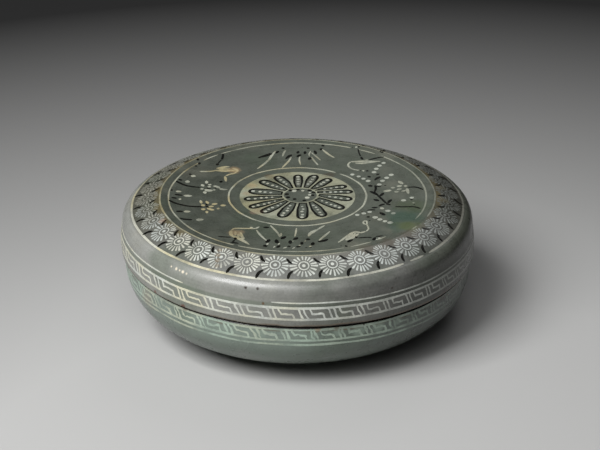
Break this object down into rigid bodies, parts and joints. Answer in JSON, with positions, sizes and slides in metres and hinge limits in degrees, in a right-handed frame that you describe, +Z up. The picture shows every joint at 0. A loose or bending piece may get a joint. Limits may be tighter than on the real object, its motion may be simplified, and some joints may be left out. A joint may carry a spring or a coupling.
{
  "type": "lidded box",
  "caption": "Low round stoneware box with a loose domed lid, celadon glaze and inlaid slip ornament: flower medallion, pale rings and key-fret bands.",
  "frame": {"origin": "middle of the foot ring, on the surface that the box stands on", "axes": "+Z up, the way the lid lifts off; the pictured front faces -Y"},
  "size_m": [0.1862, 0.1862, 0.0685],
  "materials": {
    "celadon_glaze": "glossy grey-green celadon glaze with fine crackle",
    "pale_slip": "white slip inlay under the same clear glaze",
    "black_slip": "black slip inlay under the same clear glaze"
  },
  "bodies": {
    "box": {"box_body": "celadon_glaze", "box_fret_band": "pale_slip", "box_lower_line": "pale_slip"},
    "lid": {"lid_shell": "celadon_glaze", "lid_fret_band": "pale_slip", "lid_upper_line": "pale_slip", "band_outer_ring": "pale_slip", "field_outer_ring": "pale_slip", "field_inner_ring": "pale_slip", "medallion_ring": "pale_slip", "medallion_ground": "pale_slip", "medallion_core": "black_slip", "petal_outline_01": "black_slip", "petal_outline_02": "black_slip", "petal_outline_03": "black_slip", "petal_outline_04": "black_slip", "petal_outline_05": "black_slip", "petal_outline_06": "black_slip", "petal_outline_07": "black_slip", "petal_outline_08": "black_slip", "petal_outline_09": "black_slip", "petal_outline_10": "black_slip", "petal_outline_11": "black_slip", "petal_outline_12": "black_slip", "petal_outline_13": "black_slip", "petal_outline_14": "black_slip", "petal_outline_15": "black_slip", "petal_outline_16": "black_slip"}
  },
  "joints": [
    {"name": "lid_lift", "type": "slide", "parent": "box", "child": "lid", "axis": [0, 0, 1], "range_m": [0, 0.08]}
  ]
}
